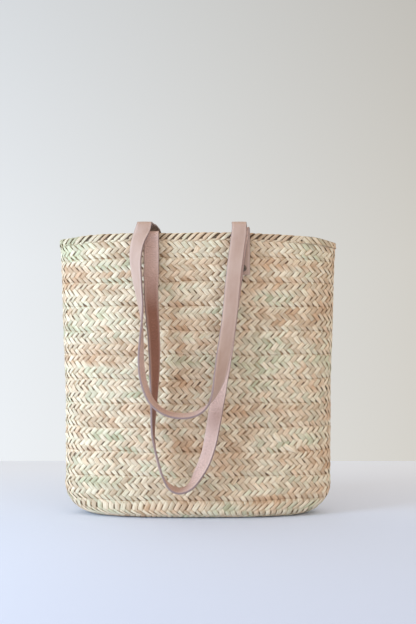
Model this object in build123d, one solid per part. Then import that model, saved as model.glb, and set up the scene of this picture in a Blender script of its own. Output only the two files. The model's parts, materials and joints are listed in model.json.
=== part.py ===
from build123d import *
import math
import os

# Flat-bottomed shopping basket of plaited palm leaf with two flat leather handles.
# Millimetres. +Z is up and -Y is the front. The origin is the middle of the base, on the floor.
# One long plait runs round and round: flat for the base, then turn on turn for the walls, and
# a thin palm cord joins each turn to the next. Both handles hang forward over the front rim.

# ---- basket ----
RIM_LENGTH = 403.0
RIM_DEPTH = 120.0
HEIGHT = 402.0
LOW_LENGTH = 383.0          # length of the wall just above the rounded ends of the base
LOW_DEPTH = 108.0           # depth of the wall just above the rounded long edges of the base
FLARE = 1.4                 # how late the ends start to lean out: 1 is straight
SQUARENESS = 2.4            # exponent of the plan outline: 2 is an ellipse
OUTLINE_POINTS = 40
WALL = 4.0                  # thickness of the plait
END_RADIUS = 45.0           # rounding from base to wall at the two ends
EDGE_RADIUS = 13.0          # the same along front and back
HEEL_HEIGHT = 26.0          # turn of plait that bends up from base to wall
WALL_TURNS = 11
HEEL_LEDGE = 6.0            # flat part of the heel turn, inside its rounding
HEEL_LEVELS = (0, 0.04, 0.12, 0.25, 0.45, 0.7, 1)   # shares of its height, closer low down
BASE_TURN_AT_ENDS = 22.5    # turn of plait round the first length, which lies in the middle
BASE_TURN_AT_SIDES = 18.0

RIM_BINDING_HEIGHT = 16.0   # strips that wrap over the top edge
RIM_BINDING_SKIN = 1.0      # their thickness
SEAM_CORD = 1.6             # side of the cord that joins two turns

# ---- handles ----
STRAP_WIDTH = 20.0
STRAP_THICKNESS = 3.0
STRAP_SPACING = 128.0       # between the middles of a handle's two ends
TAB_BELOW_RIM = 59.0        # riveted end of a strap, below the rim
FOLD_ABOVE_RIM = 4.0        # middle of the fold above the rim
TAB_GAP = 0.3               # between a strap end and the plait behind it
BODY_GAP = 0.3              # between pieces that turn on each other
FOLD_GAP = 1.4              # between a front strap and its own riveted end behind it
FOLD_BEND = [(0.0, 0.0), (0.55, 0.05), (0.86, 0.35), (0.98, 0.95)]   # shares of the fold's reach
FRONT_SHIFT_RIGHT = -4.0    # sideways drift of the front strap at its right fold
BRIDGE_LIFT = 3.5           # between the front handle's fold and the back handle over it
BRIDGE_CROWN = 6.0          # rise of the back handle between its two folds
LAYER_GAP = 0.4             # between the front handle and the back handle where it folds down
BRIDGE_SHIFT_LEFT = -10.0   # sideways drift of each back strap on its way to the front
BRIDGE_SHIFT_RIGHT = -6.0
TILT = 0.2                  # near edge of a hanging strap lies lower than the far edge

# ---- rivets ----
RIVET_ABOVE_TAB_END = 9.0
RIVET_CAP_DIAMETER = 9.0
RIVET_CAP_HEIGHT = 1.8
RIVET_CAP_ROUNDING = 0.8    # share of the cap's height that is rounded
RIVET_POST_DIAMETER = 3.5
RIVET_HOLE_CLEARANCE = 0.4  # on the diameter
RIVET_WASHER_DIAMETER = 11.0
RIVET_WASHER_THICKNESS = 1.0
RIVET_TAIL_DIAMETER = 5.5
RIVET_TAIL_HEIGHT = 1.0
CUT_PAST = 1.0              # a hole's cutter runs past the faces it cuts

# Hanging loops, from the left fold to the right fold. Each point is: distance right of the
# middle, distance forward of the fold, drop below the fold, and turn of the strap in degrees
# about its own length, 0 where its width runs left to right. The distances right of the middle
# are for the spacing LOOP_SPACING and stretch with the handle's own.
LOOP_SPACING = 128.0
FRONT_LOOP = [
    (-64, 0.8, 22, 1), (-64, 2.6, 50, 6), (-64, 4.4, 98, 24), (-61, 5.5, 142, 39),
    (-59.5, 7, 184, 50), (-60, 8.5, 220, 62), (-61, 10, 255, 76), (-61, 11, 288, 88),
    (-57, 12, 312, 99), (-52, 12, 332, 103), (-45, 12, 348, 99), (-36, 12, 358, 91),
    (-24, 12, 362, 88), (-12, 12, 358, 98), (0, 12, 342, 122), (10, 11.5, 322, 136),
    (21, 9.5, 279, 151), (31, 7, 218, 167), (40, 4.5, 162, 177), (48, 2.2, 100, 180),
    (55, 0.9, 45, 180), (59, 0.6, 18, 180),
]
BACK_LOOP = [
    (-75, 0.3, 4, -1), (-78, 1.4, 12, -14), (-83.5, 4, 26, -29), (-86.5, 7, 45, -43),
    (-85, 10.5, 66, -55), (-81.5, 14, 88, -68), (-77.5, 17.5, 112, -83),
    (-76, 21, 142, -97), (-77, 24, 174, -104),
    (-75.5, 27, 204, -105), (-70, 29.5, 227, -103), (-59, 31, 247, -98), (-42, 31.5, 259, -91),
    (-21, 31.5, 263, -90), (-2, 31.5, 260, -92), (13, 31, 250, -99), (23, 28.5, 234, -114),
    (30, 24, 212, -136), (36, 18, 180, -155), (43, 12.5, 138, -171), (48, 8, 90, -179),
    (53, 4, 45, -180), (57, 1.6, 16, -180),
]


# ---- basket shape ----
def flared(low, rim, radius, z):
    """Full length or depth of the wall at a height: rounded below the radius, flared above."""
    if z < radius:
        return low - 2 * radius + 2 * math.sqrt(radius ** 2 - (radius - z) ** 2)
    rise = (z - radius) / (HEIGHT - radius)
    return low + (rim - low) * rise ** FLARE


def half_sizes(z, inset=0.0):
    half_length = flared(LOW_LENGTH, RIM_LENGTH, END_RADIUS, z) / 2 - inset
    half_depth = flared(LOW_DEPTH, RIM_DEPTH, EDGE_RADIUS, z) / 2 - inset
    return half_length, half_depth


def outline(half_length, half_depth, z):
    """Plan outline at a height, an ellipse with fuller ends."""
    points = []
    for index in range(OUTLINE_POINTS):
        angle = 2 * math.pi * index / OUTLINE_POINTS
        c = math.cos(angle)
        s = math.sin(angle)
        x = half_length * math.copysign(abs(c) ** (2 / SQUARENESS), c)
        y = half_depth * math.copysign(abs(s) ** (2 / SQUARENESS), s)
        points.append(Vector(x, y, z))
    return Wire([Edge.make_spline(points, periodic=True)])


def wall_front(x, z, inset=0.0):
    """Distance of the wall from the middle plane, at a place along the front or back."""
    half_length, half_depth = half_sizes(z, inset)
    return half_depth * (1 - abs(x / half_length) ** SQUARENESS) ** (1 / SQUARENESS)


def wall_solid(levels, inset=0.0):
    """Solid within the wall's surface, or within a surface further in, over some heights."""
    wires = [outline(*half_sizes(z, inset), z) for z in levels]
    return Solid.make_loft(wires, ruled=True)


def prism(half_length, half_depth, bottom, top):
    wires = [outline(half_length, half_depth, bottom), outline(half_length, half_depth, top)]
    return Solid.make_loft(wires, ruled=True)


def ring(levels, outer_inset, inner_inset):
    return wall_solid(levels, outer_inset) - wall_solid(levels, inner_inset)


def seam_height(turn):
    """Height of the joint above a wall turn; turn 0 is the heel."""
    pitch = (HEIGHT - HEEL_HEIGHT) / WALL_TURNS
    return HEEL_HEIGHT + pitch * turn


def wall_seam_cord(turn):
    top = seam_height(turn)
    middle = WALL / 2
    return ring([top - SEAM_CORD, top], middle - SEAM_CORD / 2, middle + SEAM_CORD / 2)


def base_seam_cord(half_length, half_depth):
    bottom = (WALL - SEAM_CORD) / 2
    outer = prism(half_length, half_depth, bottom, bottom + SEAM_CORD)
    inner = prism(half_length - SEAM_CORD, half_depth - SEAM_CORD, bottom, bottom + SEAM_CORD)
    return outer - inner


def make_base(parts):
    floor_length, floor_depth = half_sizes(0.0)
    flat = (floor_length - HEEL_LEDGE, floor_depth - HEEL_LEDGE)
    start = (flat[0] - BASE_TURN_AT_ENDS, flat[1] - BASE_TURN_AT_SIDES)
    parts["seam_cord_base_1"] = base_seam_cord(*start)
    parts["seam_cord_base_2"] = base_seam_cord(*flat)
    start_plait = prism(*start, 0, WALL)
    parts["base_start_plait"] = start_plait - parts["seam_cord_base_1"]
    turn_plait = prism(*flat, 0, WALL) - start_plait
    parts["base_turn_plait"] = turn_plait - parts["seam_cord_base_2"]

    rounding = [HEEL_HEIGHT * share for share in HEEL_LEVELS]
    inner_levels = [WALL] + [z for z in rounding if z > WALL]
    heel = wall_solid(rounding) - wall_solid(inner_levels, WALL) - prism(*flat, 0, WALL)
    parts["seam_cord_00"] = wall_seam_cord(0)
    parts["heel_plait"] = heel - parts["seam_cord_00"]


def make_walls(parts):
    for turn in range(1, WALL_TURNS + 1):
        bottom = seam_height(turn - 1)
        top = seam_height(turn)
        levels = [bottom, (bottom + top) / 2, top]
        if turn < WALL_TURNS:
            cord = wall_seam_cord(turn)
            parts[f"seam_cord_{turn:02d}"] = cord
            parts[f"wall_plait_{turn:02d}"] = ring(levels, 0.0, WALL) - cord
    bottom = seam_height(WALL_TURNS - 1)
    shoulder = HEIGHT - RIM_BINDING_HEIGHT
    body = ring([bottom, shoulder], 0.0, WALL)
    tongue_levels = [shoulder, HEIGHT - RIM_BINDING_SKIN]
    tongue = ring(tongue_levels, RIM_BINDING_SKIN, WALL - RIM_BINDING_SKIN)
    parts[f"wall_plait_{WALL_TURNS:02d}"] = body + tongue
    parts["rim_binding"] = ring([shoulder, HEIGHT], 0.0, WALL) - tongue


# ---- straps ----
def smooth(points, steps):
    """Points along a curve that passes through the given ones (Catmull-Rom)."""
    padded = [points[0]] + list(points) + [points[-1]]
    result = []
    for index in range(1, len(padded) - 2):
        before, start, end, after = padded[index - 1:index + 3]
        for step in range(steps):
            t = step / steps
            result.append(tuple(
                b + t * ((c - a) / 2 + t * ((2 * a - 5 * b + 4 * c - d) / 2
                                            + t * (3 * b - a - 3 * c + d) / 2))
                for a, b, c, d in zip(before, start, end, after)))
    result.append(tuple(points[-1]))
    return result


def strap_section(point, along, turn, width=STRAP_WIDTH):
    """Rectangular section of a strap, square to the way it runs."""
    angle = math.radians(turn)
    across = Vector(math.cos(angle), math.sin(angle), TILT * math.sin(angle))
    along = along.normalized()
    across = (across - along * across.dot(along)).normalized()
    face = along.cross(across)
    half_width = across * (width / 2)
    half_thickness = face * (STRAP_THICKNESS / 2)
    corners = [point + half_width + half_thickness, point - half_width + half_thickness,
               point - half_width - half_thickness, point + half_width - half_thickness]
    return Wire.make_polygon(corners, close=True)


def strap(route, steps, start_along=None, end_along=None):
    """Strap along a route of (x, y, z, turn), square-ended where an end direction is given."""
    samples = smooth(route, steps)
    places = [Vector(*sample[:3]) for sample in samples]
    wires = []
    for index, sample in enumerate(samples):
        before = places[max(index - 1, 0)]
        after = places[min(index + 1, len(places) - 1)]
        along = after - before
        if index == 0 and start_along:
            along = start_along
        if index == len(places) - 1 and end_along:
            along = end_along
        wires.append(strap_section(places[index], along, sample[3]))
    return Solid.make_loft(wires, ruled=True)


def tab_front():
    """Distance from the middle plane to the middle of a strap's riveted end."""
    inner_edge = STRAP_SPACING / 2 - STRAP_WIDTH / 2
    wall = max(wall_front(inner_edge, z) for z in (HEIGHT - TAB_BELOW_RIM, HEIGHT))
    return wall + TAB_GAP + STRAP_THICKNESS / 2


FOLD_REACH = STRAP_THICKNESS + FOLD_GAP
FOLD_Z = HEIGHT + FOLD_ABOVE_RIM
BRIDGE_FOLD_Z = FOLD_Z + STRAP_THICKNESS + BRIDGE_LIFT


def front_leg_y():
    return -(tab_front() + FOLD_REACH)


def bridge_fold_y():
    return front_leg_y() - STRAP_THICKNESS - LAYER_GAP


def rivet_place(side, face):
    """Middle of a rivet on a strap end; face is -1 at the front and 1 at the back."""
    z = HEIGHT - TAB_BELOW_RIM + RIVET_ABOVE_TAB_END
    return Vector(side * STRAP_SPACING / 2, face * tab_front(), z)


def across_cylinder(x, z, diameter, near, far):
    """Cylinder along Y between two values of y."""
    plane = Plane(origin=(x, min(near, far), z), z_dir=(0, 1, 0))
    return Solid.make_cylinder(diameter / 2, abs(far - near), plane)


def make_tab(side, face):
    bottom = HEIGHT - TAB_BELOW_RIM
    top = FOLD_Z - STRAP_THICKNESS / 2 - BODY_GAP
    middle = Vector(side * STRAP_SPACING / 2, face * tab_front(), (bottom + top) / 2)
    plate = Solid.make_box(STRAP_WIDTH, STRAP_THICKNESS, top - bottom)
    plate = plate.moved(Location(middle - Vector(STRAP_WIDTH, STRAP_THICKNESS, top - bottom) / 2))
    return plate - rivet_hole(side, face)


def rivet_hole(side, face):
    place = rivet_place(side, face)
    diameter = RIVET_POST_DIAMETER + RIVET_HOLE_CLEARANCE
    return across_cylinder(place.X, place.Z, diameter, 0, face * (tab_front() + WALL))


def washer_face(side):
    """Distance from the middle plane to the side of a washer that lies on the plait."""
    place = rivet_place(side, -1)
    radius = RIVET_WASHER_DIAMETER / 2
    levels = (place.Z - radius, place.Z + radius)
    return min(wall_front(abs(place.X) + radius, z, WALL) for z in levels)


def make_rivet(side, face):
    """Domed cap outside, post, and a hammered tail over the washer inside."""
    place = rivet_place(side, face)
    outside = tab_front() + STRAP_THICKNESS / 2
    washer_back = washer_face(side) - RIVET_WASHER_THICKNESS
    tail_end = washer_back - RIVET_TAIL_HEIGHT
    cap = across_cylinder(place.X, place.Z, RIVET_CAP_DIAMETER, face * outside,
                          face * (outside + RIVET_CAP_HEIGHT))
    rims = cap.edges().filter_by(GeomType.CIRCLE).sort_by(Axis.Y)
    cap = cap.fillet(RIVET_CAP_HEIGHT * RIVET_CAP_ROUNDING, [rims[0] if face < 0 else rims[-1]])
    post = across_cylinder(place.X, place.Z, RIVET_POST_DIAMETER, face * tail_end, face * outside)
    tail = across_cylinder(place.X, place.Z, RIVET_TAIL_DIAMETER, face * tail_end,
                           face * washer_back)
    return cap + post + tail


def make_washer(side, face):
    place = rivet_place(side, face)
    outer = washer_face(side)
    inner = outer - RIVET_WASHER_THICKNESS
    disc = across_cylinder(place.X, place.Z, RIVET_WASHER_DIAMETER, face * inner, face * outer)
    hole = across_cylinder(place.X, place.Z, RIVET_POST_DIAMETER + RIVET_HOLE_CLEARANCE,
                           face * (inner - CUT_PAST), face * (outer + CUT_PAST))
    return disc - hole


def hang(points, fold_y, fold_z):
    """Route of a hanging loop whose strap comes down at a distance from the middle plane."""
    stretch = STRAP_SPACING / LOOP_SPACING
    return [(x * stretch, fold_y - forward, fold_z - down, turn)
            for x, forward, down, turn in points]


def make_front_loop():
    """Front handle beyond its folds: over, down in front of the wall, and back up."""
    half = STRAP_SPACING / 2
    hinge_y = -tab_front()
    leg_y = front_leg_y()
    over = [(hinge_y - FOLD_REACH * out, FOLD_Z - FOLD_REACH * down) for out, down in FOLD_BEND]
    left = [(-half, y, z, 0) for y, z in over]
    right = [(half + FRONT_SHIFT_RIGHT, y, z, 180) for y, z in reversed(over)]
    route = hang(FRONT_LOOP, leg_y, FOLD_Z)
    return strap(left + route + right, 2, Vector(0, -1, 0), Vector(0, 1, 0))


def make_back_loop():
    """Back handle beyond its front folds."""
    fold_y = bridge_fold_y()
    start = (-STRAP_SPACING / 2 + BRIDGE_SHIFT_LEFT, fold_y, BRIDGE_FOLD_Z, 0)
    end = (STRAP_SPACING / 2 + BRIDGE_SHIFT_RIGHT, fold_y, BRIDGE_FOLD_Z, -180)
    route = hang(BACK_LOOP, fold_y, BRIDGE_FOLD_Z)
    return strap([start] + route + [end], 2, Vector(0, 0, -1), Vector(0, 0, 1))


def make_bridge(side, shift):
    """Part of the back handle that crosses the mouth, from the back fold to the front fold."""
    back_y = tab_front()
    end_y = bridge_fold_y() + STRAP_THICKNESS / 2 + BODY_GAP
    route = []
    for share in (0.0, 0.2, 0.4, 0.6, 0.8, 1.0):
        rise = FOLD_Z + (BRIDGE_FOLD_Z - FOLD_Z) * share + BRIDGE_CROWN * 4 * share * (1 - share)
        y = back_y + (end_y - back_y) * share
        route.append((side * STRAP_SPACING / 2 + shift * share, y, rise, 0))
    return strap(route, 2, Vector(0, -1, 0), Vector(0, -1, 0))


def make_handles(parts):
    sides = {"left": -1, "right": 1}
    faces = {"front": -1, "back": 1}
    holes = []
    for face_name, face in faces.items():
        for side_name, side in sides.items():
            parts[f"{face_name}_handle_tab_{side_name}"] = make_tab(side, face)
            parts[f"{face_name}_rivet_{side_name}"] = make_rivet(side, face)
            parts[f"{face_name}_washer_{side_name}"] = make_washer(side, face)
            holes.append(rivet_hole(side, face))
    for name in parts:
        if name.startswith(("wall_plait", "seam_cord_0", "seam_cord_1")):
            parts[name] = drill(parts[name], holes)
    parts["front_handle_loop"] = make_front_loop()
    parts["back_handle_bridge_left"] = make_bridge(-1, BRIDGE_SHIFT_LEFT)
    parts["back_handle_bridge_right"] = make_bridge(1, BRIDGE_SHIFT_RIGHT)
    parts["back_handle_loop"] = make_back_loop()


def drill(piece, holes):
    """Piece with the rivet holes that reach its height."""
    box = piece.bounding_box()
    for hole in holes:
        span = hole.bounding_box()
        if span.min.Z < box.max.Z and span.max.Z > box.min.Z:
            piece = piece - hole
    return piece


def main():
    parts = {}
    make_base(parts)
    make_walls(parts)
    make_handles(parts)
    os.makedirs("parts", exist_ok=True)
    for name, piece in parts.items():
        export_step(piece, os.path.join("parts", name + ".step"))


main()
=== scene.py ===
import json
import math

import bpy
import numpy as np
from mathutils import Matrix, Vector


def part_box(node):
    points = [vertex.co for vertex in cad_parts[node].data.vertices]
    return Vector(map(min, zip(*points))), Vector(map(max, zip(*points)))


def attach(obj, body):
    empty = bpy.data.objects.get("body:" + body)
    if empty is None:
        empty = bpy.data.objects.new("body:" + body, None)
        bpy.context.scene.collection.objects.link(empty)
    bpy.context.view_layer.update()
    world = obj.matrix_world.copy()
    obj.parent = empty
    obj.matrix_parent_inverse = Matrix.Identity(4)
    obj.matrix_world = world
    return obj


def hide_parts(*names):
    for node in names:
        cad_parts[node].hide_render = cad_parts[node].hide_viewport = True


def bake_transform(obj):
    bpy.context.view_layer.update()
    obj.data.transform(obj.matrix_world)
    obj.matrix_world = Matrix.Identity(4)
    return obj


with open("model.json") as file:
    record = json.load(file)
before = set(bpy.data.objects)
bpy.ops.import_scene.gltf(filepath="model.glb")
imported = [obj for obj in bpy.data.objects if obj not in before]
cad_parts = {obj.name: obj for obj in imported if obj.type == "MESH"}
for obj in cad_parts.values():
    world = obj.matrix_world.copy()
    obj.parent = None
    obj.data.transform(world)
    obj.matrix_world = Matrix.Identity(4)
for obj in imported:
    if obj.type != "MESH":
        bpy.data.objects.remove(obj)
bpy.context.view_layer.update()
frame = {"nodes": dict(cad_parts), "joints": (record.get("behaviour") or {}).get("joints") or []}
MM = 0.001

# ---------------------------------------------------------------- basket surface
# The same plan outline and profile as the CAD basket, with its sizes read from the nodes.
SQUARENESS = 2.4             # exponent of the plan outline, where 2 is an ellipse
FLARE = 1.4                  # how late the wall starts to lean out, where 1 is straight
END_RADIUS = 45 * MM         # rounding from base to wall at the two ends
EDGE_RADIUS = 13 * MM        # the same along front and back
HEEL_LEDGE = 6 * MM          # flat part of the heel turn, inside its rounding
LEDGE_SHARE = 0.12           # share of the heel turn's width that the ledge takes
WALL = 4 * MM

rim_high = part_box("rim_binding")[1]
heel_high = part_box("heel_plait")[1]
turn_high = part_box("base_turn_plait")[1]
start_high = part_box("base_start_plait")[1]

TURNS = sum(name.startswith("wall_plait_") for name in frame["nodes"])
HEIGHT = rim_high.z
HEEL = heel_high.z
TURN = (HEIGHT - HEEL) / TURNS
RIM_HALF = (rim_high.x, rim_high.y)
BASE_HALF = (turn_high.x + HEEL_LEDGE, turn_high.y + HEEL_LEDGE)
LOW_HALF = (BASE_HALF[0] + END_RADIUS, BASE_HALF[1] + EDGE_RADIUS)
FINE_STEPS = 40000           # of the outline by angle, before it is stepped evenly
OUTLINE_STEPS = 2048
SLOPE_ROUND = 0.0006         # steps round and up, as shares, between which slopes are taken
SLOPE_UP = 0.004


def unit_outline():
    """Superellipse of the rim's proportions, by equal steps of its length."""
    angle = np.linspace(0, 2 * math.pi, FINE_STEPS + 1)
    c, s = np.cos(angle), np.sin(angle)
    x = np.sign(c) * np.abs(c) ** (2 / SQUARENESS)
    y = np.sign(s) * np.abs(s) ** (2 / SQUARENESS)
    steps = np.hypot(np.diff(x * RIM_HALF[0]), np.diff(y * RIM_HALF[1]))
    length = np.concatenate([[0], np.cumsum(steps)])
    even = np.linspace(0, length[-1], OUTLINE_STEPS + 1)
    return np.interp(even, length, x), np.interp(even, length, y), length[-1]


UNIT_X, UNIT_Y, RIM_GIRTH = unit_outline()


def on_outline(u):
    """Unit outline at u, a share of the way round from +X towards the back."""
    place = np.mod(u, 1.0) * OUTLINE_STEPS
    grid = np.arange(OUTLINE_STEPS + 1)
    return np.interp(place, grid, UNIT_X), np.interp(place, grid, UNIT_Y)


def flared(low, rim, radius, z):
    """Half length or half depth of the outer wall at a height."""
    inside = np.clip(radius - z, 0, radius)
    rounded = low - radius + np.sqrt(radius ** 2 - inside ** 2)
    rise = np.clip((z - radius) / (HEIGHT - radius), 0, None)
    return rounded + (rim - low) * rise ** FLARE


def wall_at(u, z):
    """Outer surface of the wall, round the basket and at a height."""
    x, y = on_outline(u)
    half_x = flared(LOW_HALF[0], RIM_HALF[0], END_RADIUS, z)
    half_y = flared(LOW_HALF[1], RIM_HALF[1], EDGE_RADIUS, z)
    return np.stack([x * half_x, y * half_y, z + 0 * x], -1)


def wall_band(bottom, top):
    """Outer surface of one turn: u runs round, t from its lower edge to its upper edge."""
    return lambda u, t: wall_at(u, bottom + (top - bottom) * t)


def heel_band(u, t):
    """The turn that bends up from the base: a flat ledge, then the rounding."""
    x, y = on_outline(u)
    inset = HEEL_LEDGE * (1 - np.clip(t / LEDGE_SHARE, 0, 1))
    sweep = math.acos(1 - HEEL / END_RADIUS)
    bent = np.clip((t - LEDGE_SHARE) / (1 - LEDGE_SHARE), 0, 1)
    z = END_RADIUS * (1 - np.cos(sweep * bent))
    half_x = flared(LOW_HALF[0], RIM_HALF[0], END_RADIUS, z) - inset
    half_y = flared(LOW_HALF[1], RIM_HALF[1], EDGE_RADIUS, z) - inset
    return np.stack([x * half_x, y * half_y, z + 0 * x], -1)


def flat_band(inner, outer):
    """Turn that lies flat in the base, between two outlines."""
    def surface(u, t):
        x, y = on_outline(u)
        half_x = inner[0] + (outer[0] - inner[0]) * t
        half_y = inner[1] + (outer[1] - inner[1]) * t
        return np.stack([x * half_x, y * half_y, 0 * x], -1)
    return surface


def with_normals(surface, u, t):
    """Outer surface points and their outward normals."""
    point = surface(u, t)
    along = surface(u + SLOPE_ROUND, t) - surface(u - SLOPE_ROUND, t)
    up = surface(u, np.clip(t + SLOPE_UP, 0, 1)) - surface(u, np.clip(t - SLOPE_UP, 0, 1))
    normal = np.cross(along, up)
    return point, normal / np.linalg.norm(normal, axis=-1, keepdims=True)


# ---------------------------------------------------------------- sag of the soft wall
END_DIP = 5.5 * MM           # the rim sinks this far from its middle to its two ends
SHOULDER_DIP = 5 * MM        # its right end sinks this much more
RIM_WAVE = 0.5 * MM
SLACK = (100 * MM, 160 * MM)     # between these distances from the middle the wall slackens
BULGE = (0.25 * MM, 0.9 * MM)    # wave of the wall everywhere, and added where it is slack
ROW_WAVE = (0.7 * MM, 0.5 * MM)  # the rows of plait wander up and down
LEVEL_RIM = 20 * MM          # and straighten out over this height below the rim


def share_between(value, start, end):
    """0 up to the start, 1 from the end, and even in between."""
    return np.clip((value - start) / (end - start), 0, 1)


def sag(point, normal):
    """Slow unevenness of the soft wall, and the rim's dip towards its ends."""
    x, y, z = point[..., 0], point[..., 1], point[..., 2]
    near_end = share_between(np.abs(x), *SLACK)
    lifted = share_between(z, 0, HEEL)
    top = share_between(z, 0, HEIGHT)
    wave = np.sin(31 * x + 11 * z + 1.3) + 0.7 * np.sin(24 * z - 17 * x + 2 * np.sign(y))
    out = wave * (BULGE[0] + BULGE[1] * near_end) * lifted
    ends = share_between(np.abs(x) / RIM_HALF[0], 0.3, 1)
    shoulder = share_between(x / RIM_HALF[0], 0.8, 1)
    dip = (RIM_WAVE * np.sin(43 * x + 0.6) - END_DIP * ends ** 1.5) * top ** 5
    dip -= SHOULDER_DIP * shoulder ** 2 * (3 - 2 * shoulder) * top ** 8
    wander = ROW_WAVE[0] * np.sin(37 * x + 60 * z + 0.8) + ROW_WAVE[1] * np.sin(71 * x - 33 * z)
    moved = point + normal * out[..., None]
    moved[..., 2] += dip + wander * lifted * share_between(HEIGHT - z, 0, LEVEL_RIM)
    return moved


# ---------------------------------------------------------------- plait
PITCH = 9.6 * MM             # from one strip to the next along a row, at the rim
AROUND = int(round(RIM_GIRTH / PITCH))
LEVELS = 8                   # strip crossings between the two edges of the plait
STEPS_PER_LEVEL = 3
FLOAT_HEIGHT = 0.72 * MM     # how far a strip stands out where it passes over two others
STRIP_HALF_THICKNESS = 0.42 * MM
STRIP_FACE = 3.3 * MM        # half width of a strip, as the materials measure it
STRIP_LEVEL = 6.4 * MM       # length of a strip from one crossing to the next
STRIP_LIFT = 0.12 * MM       # typical difference in height between neighbours
STRIP_DROOP = 0.16 * MM      # the edges of a strip curl towards the wall
TUCK_DEPTH = 0.15 * MM
EDGE_SPAN = 0.6              # levels over which a strip pinches together at the plait's edge
SIDE_SHARE = 0.9             # beyond this share of the length the plait looks open and frayed, with full painted shade in its gaps
GAP_EDGE = 0.95              # how dark the painted shade at the very edges of a strip is
RIM_ROW = 11.5 * MM          # height of the row that wraps over the top edge
RIM_COVER = 1.6 * MM         # the top turn ends this far below the rim strips' crown
UNDER_RIM = (RIM_ROW - 3 * MM) * LEVELS / TURN   # levels of the top turn that it covers
RIM_STEPS = 27
RIM_HALF_THICKNESS = 0.5 * MM
RIM_LIFT = 0.18 * MM
TUCK_SPAN = 2.2 * MM         # the ends of the rim strips dive under within this length
UP = np.array([0, 0, 1.0])
LEAF_HALF_WIDTH = 3.1 * MM
LEAF_LENGTH = 16 * MM
# Loose ends: root and tip, each its distance right of the middle and its height.
LOOSE_ENDS = [(108, 121, 118, 109), (123, 104, 139, 93), (147, 110, 140, 98)]
# Lens-shaped section of a strip, as shares of its half width and half thickness.
SECTION = [(-1.0, -0.1), (-0.86, 0.80), (0.0, 1.0), (0.86, 0.80),
           (1.0, -0.1), (0.86, -0.80), (0.0, -1.0), (-0.86, -0.80)]
ACROSS, OUT = np.array(SECTION).T


def weave_wave(q):
    """+1 where a strip passes over, for q from 0 to 2, and -1 where it passes under, to 4."""
    s = np.sin(0.5 * math.pi * q)
    return np.sign(s) * np.abs(s) ** 0.65


def rows(*channels):
    """Rows of numbers, one for each vertex, from channels that broadcast together."""
    return np.stack(np.broadcast_arrays(*channels), -1).reshape(-1, len(channels))


def mesh_object(name, vertices, quads, uv, tint):
    """Smooth mesh from numpy arrays, with UVs by vertex and a colour attribute called strip."""
    mesh = bpy.data.meshes.new(name)
    mesh.vertices.add(len(vertices))
    mesh.vertices.foreach_set("co", np.asarray(vertices, np.float32).ravel())
    mesh.loops.add(quads.size)
    mesh.loops.foreach_set("vertex_index", quads.astype(np.int32).ravel())
    mesh.polygons.add(len(quads))
    mesh.polygons.foreach_set("loop_start", np.arange(0, quads.size, 4, dtype=np.int32))
    mesh.update(calc_edges=True)
    mesh.polygons.foreach_set("use_smooth", np.full(len(quads), True))
    layer = mesh.uv_layers.new(name="strip_uv")
    layer.data.foreach_set("uv", np.asarray(uv, np.float32)[quads.ravel()].ravel())
    layer = mesh.color_attributes.new("strip", "FLOAT_COLOR", "POINT")
    layer.data.foreach_set("color", np.asarray(tint, np.float32).ravel())
    mesh.validate()
    obj = bpy.data.objects.new(name, mesh)
    bpy.context.scene.collection.objects.link(obj)
    return obj


def tube_quads(strips, steps, ring):
    """Faces of many closed strips, each a row of rings, with an end cap at both ends."""
    s, k, j = np.meshgrid(np.arange(strips), np.arange(steps - 1), np.arange(ring),
                          indexing="ij")
    base = s * steps * ring
    a = base + k * ring + j
    b = base + k * ring + (j + 1) % ring
    sides = np.stack([a, b, b + ring, a + ring], -1).reshape(-1, 4)
    caps = []
    strip = np.arange(strips) * steps * ring
    last = (steps - 1) * ring
    half = ring // 2
    for n in range(half - 1):
        near = [n, n + 1, ring - 2 - n, ring - 1 - n]
        caps.append(np.stack([strip + near[3], strip + near[2], strip + near[1],
                              strip + near[0]], -1))
        caps.append(np.stack([strip + last + near[0], strip + last + near[1],
                              strip + last + near[2], strip + last + near[3]], -1))
    return np.concatenate([sides] + caps)


PATCHES_ROUND = 15
PATCHES_UP = 34
patch_grid = np.random.default_rng(5).normal(0, 0.55, (PATCHES_UP, PATCHES_ROUND))


def patchy(u, height):
    """Slow change of colour over the basket, mostly between -1 and 1; height runs 0 to 1."""
    across = np.mod(u, 1.0) * PATCHES_ROUND
    up = np.clip(height, 0, 0.999) * (PATCHES_UP - 1)
    i, j = np.floor(across).astype(int), np.floor(up).astype(int)
    a, b = across - i, up - j
    a, b = a * a * (3 - 2 * a), b * b * (3 - 2 * b)
    left, right = i % PATCHES_ROUND, (i + 1) % PATCHES_ROUND
    low = patch_grid[j, left] * (1 - a) + patch_grid[j, right] * a
    high = patch_grid[j + 1, left] * (1 - a) + patch_grid[j + 1, right] * a
    return low * (1 - b) + high * b


def strip_tints(seed, count):
    """Shade, hue and fibre offset of each strip that leans left in the turn of that seed."""
    rng = np.random.default_rng(seed)
    return rng.random(count), rng.random(count), rng.random(count) * 50


def tints_along(seed, lean, count, level):
    """Shade, hue and fibre offset of each strip at each level of its turn. The half floats at
    the upper edge take those of the next turn's strips that meet them."""
    levels = level[-1]
    own = strip_tints(seed + (0 if lean < 0 else 500), count)
    shade, hue, fibre = (np.repeat(value[:, None], len(level), 1) for value in own)
    if lean < 0 and levels % 4 == 0:
        upper = level > levels - 1.6
        for mine, above in zip((shade, hue, fibre), strip_tints(seed + 1, count)):
            mine[:, upper] = np.roll(above, int(levels) // 2)[:, None]
    return shade, hue, fibre


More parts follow.
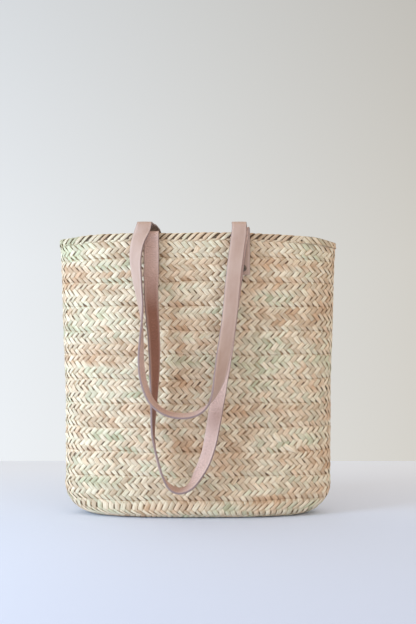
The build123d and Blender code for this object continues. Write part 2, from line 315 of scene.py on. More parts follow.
def woven_band(name, surface, count, levels, seed, height_share, bulge=0.3 * MM, covered=0):
    """One turn of plait: strips leaning right and strips leaning left, each over two, under two.
    The covered levels at its top are painted fully dark, as painted shade under the rim strips."""
    rng = np.random.default_rng(1000 + seed)
    steps = levels * STEPS_PER_LEVEL + 1
    level = np.linspace(0, levels, steps)
    lv = level[None, :, None]
    tuck = np.exp(-(np.minimum(level, levels - level) / EDGE_SPAN) ** 2)
    index = np.arange(count)
    side = share_between(np.abs(on_outline(index / count)[0]), SIDE_SHARE, 1)
    shape = bulge * np.sin(math.pi * level / levels) ** 0.5 - TUCK_DEPTH * tuck
    points, uvs, tints = [], [], []
    for lean in (1, -1):
        width = 0.5 * (0.98 + 0.05 * rng.standard_normal(count)).clip(0.86, 1.05)
        width = width * (1 - 0.22 * (rng.random(count) < 0.13))
        # Painted shade: each strip's cap on how dark its gaps are painted.
        gap_shade_cap = 0.66 + 0.34 * rng.random(count)[:, None, None] ** 1.6
        lift = STRIP_LIFT * rng.standard_normal(count)
        wander = 0.045 * rng.standard_normal((count, 2))
        phase = rng.random(count)[:, None] * 6
        pinch = np.clip(rng.random((count, 1)) - 0.45, 0, 1) * (0.95 if lean < 0 else 0.35)
        frayed = 0.12 + 0.30 * rng.random(count) ** 2
        # Painted shade: some seams at the plait's edges are painted dark, as holes in shade.
        shaded_seam = tuck[None, :] * (rng.random(count) < 0.3)[:, None]
        shade, hue, fibre = (v[:, :, None] for v in tints_along(seed, lean, count, level))

        half = width[:, None] * (1 - pinch * tuck[None, :]) * (1 - frayed * side)[:, None]
        drift = (wander[:, :1] * np.sin(0.9 * level + phase)
                 + wander[:, 1:] * np.cos(1.7 * level + phase))
        place = index[:, None, None] + 0.5 + ACROSS * half[:, :, None] + drift[:, :, None]
        if lean > 0:
            q = (place - 1 + lv) - index[:, None, None] - 1
        else:
            q = (place + 1 - lv) - index[:, None, None]
        place = place - 0.06 * np.sin(0.5 * math.pi * (q - 1))
        around = place + lean * (lv - 1) / 2
        wave = (weave_wave(q) - 0.10 * lean) * (1 - 0.25 * tuck[None, :, None])
        droop = STRIP_DROOP * ACROSS ** 2 * np.sign(wave)
        offset = (FLOAT_HEIGHT * wave + STRIP_HALF_THICKNESS * OUT - droop
                  + lift[:, None, None] + shape[None, :, None])
        u = around / count
        t = np.broadcast_to(lv / levels, u.shape)
        outer, normal = with_normals(surface, u, t)
        middle = outer + normal * (offset - WALL / 2)[..., None]
        points.append(sag(middle, normal).reshape(-1, 3))
        uvs.append(rows(ACROSS * STRIP_FACE + fibre * 0.013, lv * STRIP_LEVEL + fibre * 0.1))

        # Painted shade: dark where a strip passes under, at its very edges, towards the basket's
        # ends, in the shaded seams and in the covered levels.
        gap_shade_cap = np.maximum(gap_shade_cap, np.maximum(side[:, None], shaded_seam)[..., None])
        painted_gap_shade = np.maximum(np.clip(0.5 - 0.5 * wave, 0, 1), GAP_EDGE * np.abs(ACROSS) ** 9)
        painted_gap_shade = np.maximum(np.minimum(painted_gap_shade, gap_shade_cap), lv > levels - covered)
        cloud = 0.5 + 0.5 * patchy(u, height_share + t / (TURNS + 1))
        tints.append(rows(shade, hue, painted_gap_shade, cloud.clip(0, 1)))
    quads = tube_quads(2 * count, steps, len(SECTION))
    return mesh_object(name, np.concatenate(points), quads, np.concatenate(uvs),
                       np.concatenate(tints))


def loose_ends(name):
    """Leaf ends that have worked loose from the front wall, from their roots to their tips."""
    p = np.linspace(0, 1, 13)[:, None]
    front = np.linspace(0.5, 1, 1001)
    points, uvs = [], []
    for root_x, root_z, tip_x, tip_z in LOOSE_ENDS:
        right, up = (tip_x - root_x) * MM, (tip_z - root_z) * MM
        reach = math.hypot(right, up)
        half = LEAF_HALF_WIDTH * (1 - 0.75 * p ** 3) * ACROSS
        x = root_x * MM + right * p - half * up / reach
        z = root_z * MM + up * p + half * right / reach
        half_x = flared(LOW_HALF[0], RIM_HALF[0], END_RADIUS, z)
        u = np.interp(x / half_x, on_outline(front)[0], front)
        outer, normal = with_normals(wall_band(0, HEIGHT), u, z / HEIGHT)
        offset = (1.7 * np.sin(1.9 * p) - 1.3) * MM + STRIP_HALF_THICKNESS * OUT
        points.append(sag(outer + normal * offset[..., None], normal).reshape(-1, 3))
        uvs.append(rows(ACROSS * LEAF_HALF_WIDTH, p * LEAF_LENGTH) + 0.3 * len(uvs))
    tint = rows(0.95, 0.40, 0.3 * ACROSS ** 8 + 0 * p, 0.5)
    quads = tube_quads(len(LOOSE_ENDS), len(p), len(SECTION))
    return mesh_object(name, np.concatenate(points), quads, np.concatenate(uvs),
                       np.tile(tint, (len(LOOSE_ENDS), 1)))


def seam_cord(name, surface, seed, radius=0.75 * MM):
    """Thin two-strand twisted cord that runs round inside the seam below a turn."""
    steps, ring = 360, 5
    points = []
    turns = 130 + int(np.random.default_rng(seed).integers(0, 9))
    for strand in (0, 1):
        u = np.arange(steps + 1) / steps
        outer, normal = with_normals(surface, u, np.zeros_like(u))
        centre = outer - normal * (WALL / 2)
        ahead = np.roll(centre[:-1], -1, 0) - np.roll(centre[:-1], 1, 0)
        ahead = np.concatenate([ahead, ahead[:1]])
        ahead /= np.linalg.norm(ahead, axis=1, keepdims=True)
        side = np.cross(ahead, normal)
        angle = 2 * math.pi * turns * u + math.pi * strand
        core = centre + 0.5 * radius * (np.cos(angle)[:, None] * normal
                                        + np.sin(angle)[:, None] * side)
        spin = 2 * math.pi * np.arange(ring) / ring
        tube = core[:, None] + 0.55 * radius * (np.cos(spin)[None, :, None] * normal[:, None]
                                                + np.sin(spin)[None, :, None] * side[:, None])
        points.append(sag(tube, normal[:, None] + 0 * tube).reshape(-1, 3))
    points = np.concatenate(points)
    sides = tube_quads(2, steps + 1, ring)[:2 * steps * ring]
    # The third channel paints shade on the cord, down in the seam.
    tint = np.tile([0.3, 0.4, 0.7, 0.5], (len(points), 1))
    return mesh_object(name, points, sides, np.zeros((len(points), 2)), tint)


def rim_strips(name, seed):
    """Strips that wrap over the top edge, side by side, and dive under the row below them."""
    rng = np.random.default_rng(seed)
    radius = WALL / 2
    leg = RIM_ROW - radius
    full = 2 * leg + math.pi * radius
    run = np.linspace(0, 1, RIM_STEPS) * full
    over = np.clip((run - leg) / radius, 0, math.pi)
    down = np.clip(run - leg - math.pi * radius, 0, None)
    height = np.minimum(run, leg) + radius * np.sin(over) - down
    depth = -radius * (1 - np.cos(over))
    index = np.arange(AROUND)
    width = 0.5 * (0.80 + 0.08 * rng.standard_normal(AROUND)).clip(0.62, 0.94)
    slip = 0.08 * rng.standard_normal(AROUND)
    shade, hue = rng.random(AROUND), rng.random(AROUND)
    lift = RIM_LIFT * rng.standard_normal(AROUND)
    fibre = rng.random(AROUND)[:, None, None] * 50

    # Both ends are cut along the slant of the row below, and tuck in under it.
    cut = 0.5 * TURN / LEVELS * ACROSS
    front_end = run[None, :, None] + cut
    back_end = (full - run)[None, :, None] - cut
    tuck = np.exp(-(np.clip(np.minimum(front_end, back_end), 0, None) / TUCK_SPAN) ** 2)
    slant = (run * LEVELS / TURN / 2)[None, :, None]
    around = index[:, None, None] + slip[:, None, None] + ACROSS * width[:, None, None] + slant
    u = around / AROUND
    z = np.broadcast_to(HEIGHT - RIM_ROW + height[None, :, None], u.shape)
    outer = wall_at(u, np.minimum(z, HEIGHT))
    along = wall_at(u + SLOPE_ROUND, z) - wall_at(u - SLOPE_ROUND, z)
    flat = np.cross(along, UP)
    flat /= np.linalg.norm(flat, axis=-1, keepdims=True)
    tilt = over[None, :, None, None]
    normal = flat * np.cos(tilt) + UP * np.sin(tilt)
    swell = 0.05 * MM * (1 - tuck) - 1.1 * MM * tuck
    offset = (RIM_HALF_THICKNESS * (OUT - 1) - 0.3 * MM * ACROSS ** 2
              + lift[:, None, None] * (1 - tuck) + swell)
    middle = outer + flat * depth[None, :, None, None] + normal * offset[..., None]
    points = sag(middle, normal).reshape(-1, 3)
    uv = rows(ACROSS * STRIP_FACE + 0 * u + fibre * 0.013,
              run[None, :, None] * 1.35 + fibre * 0.1)
    cloud = (0.5 + 0.5 * patchy(u, 1.0)).clip(0, 1)
    # Painted shade where the tucked ends dive under the row below, and along the strips' edges.
    painted_gap_shade = np.maximum(0.1 + 0.45 * tuck, GAP_EDGE * np.abs(ACROSS) ** 4)
    tint = rows(shade[:, None, None], hue[:, None, None], painted_gap_shade, cloud)
    return mesh_object(name, points, tube_quads(AROUND, RIM_STEPS, len(SECTION)), uv, tint)


# ---------------------------------------------------------------- node materials
class Graph:
    """Small helper that adds nodes to one material or world and joins them."""

    def __init__(self, owner, shader="Principled BSDF"):
        owner.use_nodes = True
        self.owner = owner
        self.nodes = owner.node_tree.nodes
        self.links = owner.node_tree.links
        self.shader = self.nodes[shader]

    def add(self, kind, settings=None, inputs=None):
        node = self.nodes.new(kind)
        for key, value in (settings or {}).items():
            setattr(node, key, value)
        for key, value in (inputs or {}).items():
            self.feed(node.inputs[key], value)
        return node

    def feed(self, socket, value):
        if isinstance(value, bpy.types.NodeSocket):
            self.links.new(value, socket)
        else:
            socket.default_value = value

    def math(self, operation, a, b=0.0, clamp=False):
        node = self.add("ShaderNodeMath", {"operation": operation, "use_clamp": clamp})
        self.feed(node.inputs[0], a)
        self.feed(node.inputs[1], b)
        return node.outputs[0]

    def mix(self, factor, a, b, blend="MIX"):
        node = self.add("ShaderNodeMix", {"data_type": "RGBA", "blend_type": blend})
        self.feed(node.inputs["Factor"], factor)
        self.feed(node.inputs["A"], a)
        self.feed(node.inputs["B"], b)
        return node.outputs["Result"]

    def ramp(self, factor, stops, mode="LINEAR"):
        node = self.add("ShaderNodeValToRGB")
        node.color_ramp.interpolation = mode
        elements = node.color_ramp.elements
        while len(elements) < len(stops):
            elements.new(0.5)
        for element, (position, colour) in zip(elements, stops):
            element.position = position
            element.color = colour
        self.feed(node.inputs[0], factor)
        return node.outputs[0]

    def noise(self, vector, detail=3.0, rough=0.55):
        node = self.add("ShaderNodeTexNoise", inputs={
            "Scale": 1.0, "Detail": detail, "Roughness": rough, "Vector": vector})
        return node.outputs["Fac"]

    def stretched(self, vector, scale):
        node = self.add("ShaderNodeMapping", inputs={"Scale": scale, "Vector": vector})
        return node.outputs["Vector"]

    def bump(self, strength, distance, height):
        node = self.add("ShaderNodeBump", inputs={
            "Strength": strength, "Distance": distance, "Height": height})
        self.feed(self.shader.inputs["Normal"], node.outputs["Normal"])


def colour(r, g, b):
    """sRGB numbers from 0 to 255 as a linear colour."""
    def linear(c):
        c /= 255
        return c / 12.92 if c <= 0.04045 else ((c + 0.055) / 1.055) ** 2.4
    return (linear(r), linear(g), linear(b), 1.0)


def palm_material(name, warmth=0.0):
    """Dry palm leaf: each strip its own tint, with fibres along it and painted shade, dark brown,
    in the gaps and where strips pass under others.
    """
    g = Graph(bpy.data.materials.new(name))
    strip = g.add("ShaderNodeVertexColor", {"layer_name": "strip"})
    parts = g.add("ShaderNodeSeparateColor", inputs={"Color": strip.outputs["Color"]})
    shade, hue, painted_gap_shade = (parts.outputs[n] for n in ("Red", "Green", "Blue"))
    cloud = strip.outputs["Alpha"]
    uv = g.add("ShaderNodeUVMap", {"uv_map": "strip_uv"}).outputs["UV"]
    own = g.math("MULTIPLY", g.math("SUBTRACT", hue, 0.5), 0.55)
    patch = g.math("MULTIPLY", g.math("SUBTRACT", cloud, 0.5), 0.80)
    shifted = g.math("ADD", g.math("ADD", own, patch), 0.5)
    tone = g.ramp(shifted, [
        (0.00, colour(208, 209, 180)), (0.18, colour(226, 221, 197)),
        (0.38, colour(240, 228, 206)), (0.60, colour(234, 215, 190)),
        (0.80, colour(227, 201, 174)), (1.00, colour(214, 180, 149))])
    light = g.ramp(shade, [(0.0, (0.77, 0.75, 0.72, 1)), (0.5, (0.96, 0.96, 0.96, 1)),
                           (1.0, (1.05, 1.05, 1.05, 1))])
    base = g.mix(1.0, tone, light, "MULTIPLY")
    fibres = g.noise(g.stretched(uv, (2600, 60, 1)), 4.0, 0.6)
    streak = g.ramp(fibres, [(0.30, (0.80, 0.77, 0.71, 1)), (0.55, (1, 1, 1, 1)),
                             (0.75, (1.06, 1.06, 1.05, 1))])
    base = g.mix(0.8, base, streak, "MULTIPLY")
    ribs = g.noise(g.stretched(uv, (760, 34, 1)), 2.0, 0.5)
    rib_tone = g.ramp(ribs, [(0.34, (0.84, 0.79, 0.72, 1)), (0.50, (1, 1, 1, 1)),
                             (0.66, (1.10, 1.10, 1.10, 1))])
    base = g.mix(0.9, base, rib_tone, "MULTIPLY")
    blotch = g.noise(g.stretched(uv, (240, 90, 1)), 2.0)
    stain = g.ramp(blotch, [(0.28, (0.86, 0.78, 0.66, 1)), (0.5, (1, 1, 1, 1))])
    base = g.mix(0.55, base, stain, "MULTIPLY")
    # Painted shade: deep brown in the gaps and where strips pass under others.
    gap_shade_tone = g.ramp(painted_gap_shade, [(0.38, (1, 1, 1, 1)), (0.7, (0.62, 0.50, 0.38, 1)),
                           (1.0, (0.10, 0.06, 0.035, 1))])
    base = g.mix(0.95, base, gap_shade_tone, "MULTIPLY")
    if warmth:
        base = g.mix(warmth, base, colour(176, 132, 84), "MULTIPLY")
    g.feed(g.shader.inputs["Base Color"], base)
    rough = g.ramp(fibres, [(0.2, (0.62, 0.62, 0.62, 1)), (0.8, (0.46, 0.46, 0.46, 1))])
    g.feed(g.shader.inputs["Roughness"], rough)
    g.shader.inputs["Specular IOR Level"].default_value = 0.42
    g.bump(0.4, 0.3 * MM, g.math("ADD", fibres, ribs))
    return g.owner


def leather_material():
    """Dusty pink leather: fine grain outside, nap on the flesh side, paler raw edges."""
    g = Graph(bpy.data.materials.new("leather"))
    strip = g.add("ShaderNodeVertexColor", {"layer_name": "strip"})
    parts = g.add("ShaderNodeSeparateColor", inputs={"Color": strip.outputs["Color"]})
    edge, flesh, edge_highlight = (parts.outputs[n] for n in ("Red", "Green", "Blue"))
    uv = g.add("ShaderNodeUVMap", {"uv_map": "strip_uv"}).outputs["UV"]
    broad = g.noise(g.stretched(uv, (60, 26, 1)))
    grain_tone = g.ramp(broad, [(0.3, colour(184, 155, 142)), (0.7, colour(196, 170, 158))])
    flesh_tone = g.ramp(broad, [(0.3, colour(204, 172, 162)), (0.7, colour(220, 190, 180))])
    face = g.mix(flesh, grain_tone, flesh_tone)
    cells = g.add("ShaderNodeTexVoronoi", inputs={"Scale": 1.0,
                  "Vector": g.stretched(uv, (1500, 1500, 1))}).outputs["Distance"]
    nap = g.noise(g.stretched(uv, (2600, 900, 1)), 4.0, 0.7)
    speckle = g.ramp(nap, [(0.3, (0.86, 0.84, 0.84, 1)), (0.7, (1.05, 1.05, 1.05, 1))])
    face = g.mix(0.6, face, speckle, "MULTIPLY")
    tufts = g.noise(g.stretched(uv, (700, 620, 1)), 3.0, 0.7)
    tuft_tone = g.ramp(tufts, [(0.40, (0.58, 0.54, 0.52, 1)), (0.60, (1.15, 1.15, 1.15, 1))])
    face = g.mix(g.math("MULTIPLY", flesh, 0.8), face, tuft_tone, "MULTIPLY")
    # Painted shade on the flesh side between the two distances along the strap.
    painted_shade = g.math("MULTIPLY", flesh, g.math("SUBTRACT", 1.0, strip.outputs["Alpha"]))
    face = g.mix(painted_shade, face, colour(180, 148, 132), "MULTIPLY")
    raw = g.mix(g.noise(g.stretched(uv, (900, 300, 1))), colour(130, 108, 108),
                colour(168, 148, 146))
    # Painted highlight: the faces are paler just inside their rounded edges.
    highlit_face = g.mix(g.math("MULTIPLY", edge_highlight, 0.5, True), face, colour(222, 200, 190))
    base = g.mix(edge, highlit_face, raw)
    g.feed(g.shader.inputs["Base Color"], base)
    rough = g.math("ADD", g.math("MULTIPLY", flesh, 0.16), g.math(
        "ADD", g.math("MULTIPLY", nap, 0.12), 0.52))
    g.feed(g.shader.inputs["Roughness"], rough)
    g.shader.inputs["Specular IOR Level"].default_value = 0.35
    g.shader.inputs["Sheen Weight"].default_value = 0.08
    height = g.math("ADD", g.math("MULTIPLY", cells, 0.6), g.math("MULTIPLY", nap, 0.6))
    g.bump(0.3, 0.2 * MM, height)
    return g.owner


def metal_material():
    """Dark nickel, a little worn, in patches of tone and roughness."""
    g = Graph(bpy.data.materials.new("dark_nickel"))
    where = g.add("ShaderNodeTexCoord").outputs["Object"]
    patches = g.noise(g.stretched(where, (900, 900, 900)), 4.0)
    tone = g.ramp(patches, [(0.3, colour(74, 66, 62)), (0.7, colour(128, 118, 110))])
    g.feed(g.shader.inputs["Base Color"], tone)
    g.shader.inputs["Metallic"].default_value = 1.0
    rough = g.ramp(patches, [(0.2, (0.26, 0.26, 0.26, 1)), (0.8, (0.48, 0.48, 0.48, 1))])
    g.feed(g.shader.inputs["Roughness"], rough)
    return g.owner


PALM = palm_material("palm_strips")
RIM_PALM = palm_material("rim_strips", 0.12)
CORD_PALM = palm_material("palm_cord", 0.5)
LEATHER = leather_material()
NICKEL = metal_material()


def dress(obj, material, slot_name, body, *nodes):
    """Material and body of a finished piece, and the CAD nodes that it stands for; the slot name
    is not used.
    """
    obj.data.materials.append(material)
    if body:
        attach(obj, body)
    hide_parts(*nodes)


# ---------------------------------------------------------------- basket pieces
def make_basket():
    """Base, heel and wall turns from the middle outwards, each with the cord inside it."""
    start_half = (start_high.x, start_high.y)
    turn_half = (turn_high.x, turn_high.y)
    spine = (start_half[0] - start_half[1], 0.4 * MM)
    start_band = flat_band(spine, start_half)
    turn_band = flat_band(start_half, turn_half)
    base_levels = LEVELS // 2
    piece = woven_band("palm_base_start", start_band, AROUND // 2, base_levels, 3, 0.1, 0)
    dress(piece, PALM, "palm_plait", "basket", "base_start_plait")
    piece = woven_band("palm_base_turn", turn_band, 2 * AROUND // 3, base_levels, 4, 0.1, 0)
    dress(piece, PALM, "palm_plait", "basket", "base_turn_plait")
    piece = woven_band("palm_heel", heel_band, AROUND, LEVELS, 10, 0.0)
    dress(piece, PALM, "palm_plait", "basket", "heel_plait")
    for number in range(1, TURNS + 1):
        bottom = HEEL + TURN * (number - 1)
        top = min(bottom + TURN, HEIGHT - RIM_COVER)
        surface = wall_band(bottom, top)
        piece = woven_band(f"palm_turn_{number:02d}", surface, AROUND, LEVELS, 10 + number,
                           number / TURNS, covered=UNDER_RIM if number == TURNS else 0)
        dress(piece, PALM, "palm_plait", "basket", f"wall_plait_{number:02d}")
        cord = seam_cord(f"palm_cord_{number - 1:02d}", surface, 40 + number)
        dress(cord, CORD_PALM, "palm_cord", "basket", f"seam_cord_{number - 1:02d}")
    cord = seam_cord("palm_cord_base_1", turn_band, 60)
    dress(cord, CORD_PALM, "palm_cord", "basket", "seam_cord_base_1")
    cord = seam_cord("palm_cord_base_2", heel_band, 61)
    dress(cord, CORD_PALM, "palm_cord", "basket", "seam_cord_base_2")
    piece = loose_ends("palm_loose_ends")
    dress(piece, PALM, "palm_plait", "basket", "wall_plait_03")
    piece = rim_strips("palm_rim", 70)
    dress(piece, RIM_PALM, "rim_palm", "basket", "rim_binding")


# ---------------------------------------------------------------- straps
STRAP_HALF_WIDTH = 10.3 * MM
STRAP_HALF_THICKNESS = 1.45 * MM
EDGE_ROUND = 0.75 * MM
STRAP_TILT = 0.2             # the near edge of a hanging strap lies lower than the far edge
STRAP_STEP = 1.2 * MM        # from one ring of points to the next
CUPPING = 0.25 * MM
PAINTED_SHADE_FADE = 60 * MM       # length over which the painted shade on the flesh side fades in and out
LEG_REACH = 4.4 * MM         # the front strap hangs this far in front of its riveted end
LEFT_FOLD_SINK = 4.5 * MM    # the worn left fold of the front handle lies lower than the right
BRIDGE_CROWN = 6 * MM        # rise of the back handle between its two folds
BRIDGE_DRIFT = {-1: -10 * MM, 1: -6 * MM}    # sideways, on its way to the front

tab_low, tab_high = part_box("front_handle_tab_left")
HALF_SPACING = abs(tab_low.x + tab_high.x) / 2
TAB_LOW = tab_low.z

joints = {joint["name"]: Vector(joint["pos_m"]) for joint in frame["joints"]}
FRONT_HINGE = joints["front_handle_swing"]
BACK_HINGE = joints["back_bridge_lift"]
LOOP_HINGE = joints["back_loop_swing"]

# Hanging loops as in the CAD part: distance right, distance forward, drop and turn.
FRONT_LOOP = [
    (-64, 0.8, 22, 1), (-64, 2.6, 50, 6), (-64, 4.4, 98, 24), (-61, 5.5, 142, 39),
    (-59.5, 7, 184, 50), (-60, 8.5, 220, 62), (-61, 10, 255, 76), (-61, 11, 288, 88),
    (-57, 12, 312, 99), (-52, 12, 332, 103), (-45, 12, 348, 99), (-36, 12, 358, 91),
    (-24, 12, 362, 88), (-12, 12, 358, 98), (0, 12, 342, 122), (10, 11.5, 322, 136),
    (21, 9.5, 279, 151), (31, 7, 218, 167), (40, 4.5, 162, 177), (48, 2.2, 100, 180),
    (55, 0.9, 45, 180), (59, 0.6, 18, 180),
]
BACK_LOOP = [
    (-75, 0.3, 4, -1), (-78, 1.4, 12, -12), (-82.8, 4, 26, -25), (-85.3, 7, 45, -37),
    (-84, 10.5, 66, -47), (-81, 14, 88, -57), (-77.5, 17.5, 112, -70),
    (-76, 21, 142, -90), (-77, 24, 174, -102),
    (-75.5, 27, 204, -105), (-70, 29.5, 227, -103), (-59, 31, 247, -98), (-42, 31.5, 259, -91),
    (-21, 31.5, 263, -90), (-2, 31.5, 260, -92), (13, 31, 250, -99), (23, 28.5, 234, -114),
    (30, 24, 212, -136), (36, 18, 180, -155), (43, 12.5, 138, -171), (48, 8, 90, -179),
    (53, 4, 45, -180), (57, 1.6, 16, -180),
]


def cubic(points, spacing):
    """Rows evenly along a natural cubic spline through the given rows."""
    given = np.array(points, float)
    gaps = np.linalg.norm(np.diff(given[:, :3], axis=0), axis=1)
    knots = np.concatenate([[0], np.cumsum(gaps)])
    n = len(given)
    system, right = np.eye(n), np.zeros_like(given)
    for i in range(1, n - 1):
        a, b = gaps[i - 1], gaps[i]
        system[i, i - 1:i + 2] = (a, 2 * (a + b), b)
        right[i] = 6 * ((given[i + 1] - given[i]) / b - (given[i] - given[i - 1]) / a)
    curve = np.linalg.solve(system, right)
    place = np.linspace(0, knots[-1], int(knots[-1] / spacing) + 1)
    k = np.clip(np.searchsorted(knots, place, "right") - 1, 0, n - 2)
    h = gaps[k][:, None]
    a = (knots[k + 1] - place)[:, None] / h
    b = 1 - a
    return (a * given[k] + b * given[k + 1]
            + ((a ** 3 - a) * curve[k] + (b ** 3 - b) * curve[k + 1]) * h ** 2 / 6)


def strap_profile():
    """Section of the strap with rounded corners, each point across and out from its middle."""
    points = []
    corners = [(1, 1, 0), (-1, 1, 90), (-1, -1, 180), (1, -1, 270)]
    for x_sign, y_sign, start in corners:
        for turn in (0, 30, 60, 90):
            angle = math.radians(start + turn)
            x = x_sign * (STRAP_HALF_WIDTH - EDGE_ROUND) + EDGE_ROUND * math.cos(angle)
            y = y_sign * (STRAP_HALF_THICKNESS - EDGE_ROUND) + EDGE_ROUND * math.sin(angle)
            points.append((x, y))
        if start in (0, 180):
            points += [(x_sign * STRAP_HALF_WIDTH * f, y_sign * STRAP_HALF_THICKNESS)
                       for f in (0.6, 0.2, -0.2, -0.6)]
    return np.array(points)


def make_strap(name, route, grain_side, seed, painted_shade=(0, 0)):
    """Closed leather strap along rows of (x, y, z, turn), with painted shade on its flesh side
    between two distances along it."""
    rng = np.random.default_rng(seed)
    line = cubic(route, STRAP_STEP)
    centre, turn = line[:, :3], np.radians(line[:, 3])
    along = np.gradient(centre, axis=0)
    along /= np.linalg.norm(along, axis=1, keepdims=True)
    across = np.stack([np.cos(turn), np.sin(turn), STRAP_TILT * np.sin(turn)], 1)
    across -= along * np.sum(across * along, 1, keepdims=True)
    across /= np.linalg.norm(across, axis=1, keepdims=True)
    face = np.cross(along, across)
    side, out = strap_profile().T
    length = np.concatenate([[0], np.cumsum(np.linalg.norm(np.diff(centre, axis=0), axis=1))])
    soft = 0.12 * MM * np.sin(length * 190 + rng.random() * 6)
    x = side + soft[:, None] * np.sign(side)
    cup = -CUPPING * (x / STRAP_HALF_WIDTH) ** 2
    points = (centre[:, None] + across[:, None] * x[..., None]
              + face[:, None] * (out + cup * grain_side)[..., None])
    raw = (np.abs(side) > STRAP_HALF_WIDTH - 0.62 * EDGE_ROUND).astype(float)
    # Painted highlight: the faces are paler just inside their rounded edges.
    near_edge = share_between(np.abs(side) / STRAP_HALF_WIDTH, 0.86, 0.96) * (1 - raw)
    flesh = (out * grain_side < 0).astype(float)
    start, end = painted_shade
    painted_shade_share = share_between(length - start, 0, PAINTED_SHADE_FADE) * share_between(end - length, 0,
                                                                          PAINTED_SHADE_FADE)
    return mesh_object(name, points.reshape(-1, 3), tube_quads(1, len(centre), len(side)),
                       rows(x + out, length[:, None]),
                       rows(raw, flesh, near_edge, 1 - painted_shade_share[:, None]))


def riveted_end(x, y, fold_z):
    """Rows up the outside of the wall from the cut end of a strap to just below its fold."""
    heights = np.linspace(TAB_LOW, fold_z - 4 * MM, 5)
    return [(x, y, z, 0) for z in heights]


def front_route():
    """Rows of the front handle: up its left end, over the fold, round the loop and back."""
    y, z = FRONT_HINGE.y, FRONT_HINGE.z
    leg_y = y - LEG_REACH

    def fold(x, sink, turn):
        return [(x, y - 0.35 * MM, z - sink - 1.2 * MM, turn),
                (x, (y + leg_y) / 2, z - sink + 0.7 * MM, turn),
                (x, leg_y + 0.25 * MM, z - sink - 1.4 * MM, turn),
                (x, leg_y - 0.1 * MM, z - sink - 8 * MM, turn)]

    left, right = -HALF_SPACING, HALF_SPACING - 1 * MM
    left_side = riveted_end(left, y, z - LEFT_FOLD_SINK) + fold(left, LEFT_FOLD_SINK, 0)
    loop = [(x * MM, leg_y - out * MM, z - down * MM, turn) for x, out, down, turn in FRONT_LOOP]
    drifted = [(px - 2 * MM * (py - y) / (leg_y - y), py, pz, 180)
               for px, py, pz, _ in fold(right, 0, 180)]
    end = [(px, py, pz, 180) for px, py, pz, _ in riveted_end(right, y, z)]
    return left_side + loop + drifted[::-1] + end[::-1]


def bridge_rows(side):
    """Rows of one strap of the back handle, from above its back fold to near its front one."""
    rise, reach = LOOP_HINGE.z - BACK_HINGE.z, LOOP_HINGE.y - BACK_HINGE.y
    bridge = []
    for share in (0.02, 0.06, 0.2, 0.35, 0.5, 0.65, 0.8):
        lift = 0.6 * MM if share < 0.05 else 0
        bridge.append((side * HALF_SPACING + BRIDGE_DRIFT[side] * share,
                       BACK_HINGE.y + reach * share,
                       BACK_HINGE.z + rise * share + 4 * BRIDGE_CROWN * share * (1 - share) + lift,
                       0))
    return bridge


def back_routes():
    """Rows of the back handle: from each back end to the middle of its bridge, and from there
    over the front folds and round the loop."""
    fold_y, fold_z = LOOP_HINGE.y, LOOP_HINGE.z
    ends, overs = {}, {}
    for side in (-1, 1):
        bridge = bridge_rows(side)
        ends[side] = riveted_end(side * HALF_SPACING, BACK_HINGE.y, BACK_HINGE.z) + bridge[:5]
        front_x = side * HALF_SPACING + BRIDGE_DRIFT[side]
        overs[side] = bridge[4:] + [(front_x, fold_y + 6.5 * MM, fold_z + 3.0 * MM, 0),
                                    (front_x, fold_y + 1.6 * MM, fold_z + 0.9 * MM, 0)]
    overs[1].append((front_x, fold_y - 0.4 * MM, fold_z - 3.4 * MM, 0))
    loop = [(x * MM, fold_y - out * MM, fold_z - down * MM, turn)
            for x, out, down, turn in BACK_LOOP]
    right = [(x, y, z, -180) for x, y, z, _ in reversed(overs[1])]
    return ends[-1], ends[1], overs[-1] + loop + right


def make_handles():
    """Front handle in one strap; back handle in two ends and the loop between them. Each passes
    from one CAD body to the next over its folds, as one mesh attached to no body."""
    # Painted shade on the flesh side from 112 mm to 400 mm along the front handle.
    strap = make_strap("leather_front_handle", front_route(), -1, 1, (112 * MM, 400 * MM))
    dress(strap, LEATHER, "leather", None, "front_handle_tab_left", "front_handle_tab_right",
          "front_handle_loop")
    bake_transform(strap)
    left, right, loop = back_routes()
    for side, route, seed in (("left", left, 2), ("right", right, 3)):
        strap = make_strap(f"leather_back_end_{side}", route, 1, seed)
        dress(strap, LEATHER, "leather", None, f"back_handle_tab_{side}",
              f"back_handle_bridge_{side}")
        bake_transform(strap)
    strap = make_strap("leather_back_handle", loop, 1, 4)
    dress(strap, LEATHER, "leather", None, "back_handle_loop")
    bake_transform(strap)


def make_rivets():
    """The rivets and washers are the CAD's own, in dark nickel."""
    for name, node in frame["nodes"].items():
        if "rivet" in name or "washer" in name:
            node.data.materials.clear()
            node.data.materials.append(NICKEL)
            node.data.polygons.foreach_set("use_smooth", [False] * len(node.data.polygons))


# ---------------------------------------------------------------- studio
CAMERA_BACK = 1.456          # from the middle plane of the basket
CAMERA_HEIGHT = 0.291
CAMERA_SIDE = 0.0147
LENS = 57.7
TABLE_REACH = 3.0            # to the left, to the right and towards the camera
TABLE_END_Y = 0.497
ROOM_LIGHT = (0.85, 0.775, 0.68, 1.0)


def make_camera():
    """Level camera a little to the right of the middle, at two thirds of the basket's height."""
    camera = bpy.data.cameras.new("camera")
    camera.lens = LENS
    camera.sensor_width = 36
    camera.clip_start, camera.clip_end = 0.05, 20
    rig = bpy.data.objects.new("camera", camera)
    rig.location = (CAMERA_SIDE, -CAMERA_BACK, CAMERA_HEIGHT)
    rig.rotation_euler = (math.radians(90), 0, 0)
    bpy.context.scene.collection.objects.link(rig)
    bpy.context.scene.camera = rig


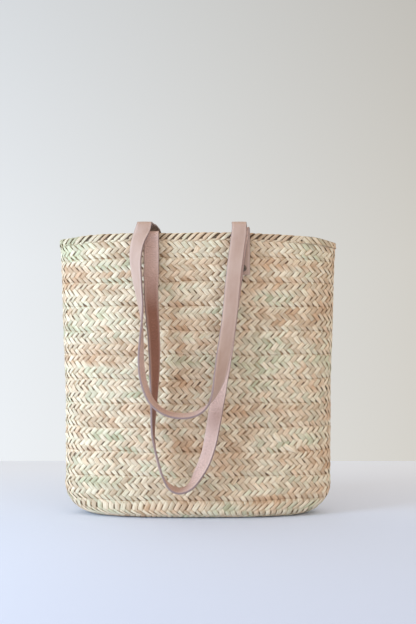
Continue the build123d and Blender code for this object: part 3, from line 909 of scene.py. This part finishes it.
def make_stage():
    """Pale table top whose far edge meets the wall of the room, with painted shade that makes it a
    little darker in front.
    """
    g = Graph(bpy.data.materials.new("table_paper"))
    where = g.add("ShaderNodeTexCoord").outputs["Object"]
    depth = g.add("ShaderNodeSeparateXYZ", inputs={"Vector": where}).outputs["Y"]
    # Painted shade: the top darkens towards the front.
    tone = g.ramp(g.math("ADD", depth, 0.5, True), [
        (0.0, colour(214, 223, 246)), (0.4, colour(220, 229, 250)),
        (0.9, colour(236, 242, 255))])
    g.feed(g.shader.inputs["Base Color"], tone)
    g.shader.inputs["Roughness"].default_value = 0.9
    g.shader.inputs["Specular IOR Level"].default_value = 0.2
    mesh = bpy.data.meshes.new("table_top")
    corners = [(-TABLE_REACH, -TABLE_REACH, 0), (TABLE_REACH, -TABLE_REACH, 0),
               (TABLE_REACH, TABLE_END_Y, 0), (-TABLE_REACH, TABLE_END_Y, 0)]
    mesh.from_pydata(corners, [], [(0, 1, 2, 3)])
    mesh.materials.append(g.owner)
    table = bpy.data.objects.new("table_top", mesh)
    bpy.context.scene.collection.objects.link(table)


def make_room():
    """World light: a wall behind the table that darkens to the right and upwards, and the
    soft warm light of the rest of the room."""
    g = Graph(bpy.data.worlds.new("room"), "Background")
    looking = g.add("ShaderNodeTexCoord").outputs["Generated"]
    parts = g.add("ShaderNodeSeparateXYZ", inputs={"Vector": looking})
    right, ahead, up = (parts.outputs[axis] for axis in "XYZ")
    side = g.math("ADD", g.math("MULTIPLY", right, 2.5), 0.5, True)
    tone = g.ramp(side, [(0.0, colour(238, 242, 246)), (0.45, colour(228, 229, 228)),
                         (1.0, colour(214, 211, 204))])
    rise = g.math("ADD", g.math("MULTIPLY", up, 2.0), 0.4, True)
    fade = g.ramp(rise, [(0.10, (1, 1, 1, 1)), (0.50, (0.96, 0.96, 0.96, 1)),
                         (1.00, (0.80, 0.80, 0.80, 1))])
    wall = g.mix(1.0, tone, fade, "MULTIPLY")
    towards = g.math("ADD", g.math("MULTIPLY", ahead, 2.0), -0.6, True)
    g.feed(g.shader.inputs["Color"], g.mix(towards, ROOM_LIGHT, wall))
    g.shader.inputs["Strength"].default_value = 1.0
    bpy.context.scene.world = g.owner


def area_light(name, place, target, size, power, tone):
    lamp = bpy.data.lights.new(name, "AREA")
    lamp.shape = "RECTANGLE"
    lamp.size, lamp.size_y = size
    lamp.energy = power
    lamp.color = tone
    rig = bpy.data.objects.new(name, lamp)
    rig.location = place
    rig.rotation_euler = (Vector(target) - Vector(place)).to_track_quat("-Z", "Y").to_euler()
    bpy.context.scene.collection.objects.link(rig)


def make_light():
    """Cool window low on the left, and a weak warm fill from the right."""
    middle = (0, 0, 0.2)
    area_light("window", (-1.25, -0.75, 0.45), (0.15, -0.25, 0.2), (0.6, 0.8), 17.5,
               (0.64, 0.83, 1.0))
    area_light("fill", (1.6, -1.6, 0.9), middle, (1.6, 1.2), 4, (1.0, 0.90, 0.76))
    bpy.context.scene.view_settings.view_transform = "Standard"


make_camera()
make_stage()
make_room()
make_light()
make_basket()
make_handles()
make_rivets()
